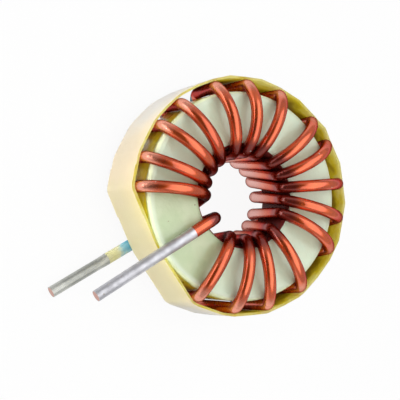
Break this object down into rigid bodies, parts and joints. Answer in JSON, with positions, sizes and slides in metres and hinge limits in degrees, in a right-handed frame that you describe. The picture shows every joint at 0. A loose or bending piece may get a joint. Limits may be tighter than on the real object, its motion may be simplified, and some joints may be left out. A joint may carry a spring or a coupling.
{
  "type": "toroidal inductor",
  "caption": "Ring-core inductor wound with one thick enamelled copper wire, taped round the outside, with two tinned leads leaving on one side.",
  "frame": {"origin": "on the ring's axis, on the plane that the rear strands rest on", "axes": "+Z along the ring's axis, towards the painted front face; both leads leave towards -Y; +X completes the frame"},
  "size_m": [0.0308, 0.0415, 0.0133],
  "materials": {
    "core": "glossy olive-yellow epoxy coat on pressed iron powder",
    "face_coat": "satin pale grey-green paint",
    "winding": "glossy orange-brown enamel over copper",
    "front_lead_tin": "bright solder",
    "rear_lead_tin": "bright solder, slightly duller",
    "tape": "satin cream tape"
  },
  "bodies": {
    "root": {"core": "core", "face_coat": "face_coat", "winding": "winding", "front_lead_tin": "front_lead_tin", "rear_lead_tin": "rear_lead_tin", "tape": "tape"}
  },
  "joints": []
}
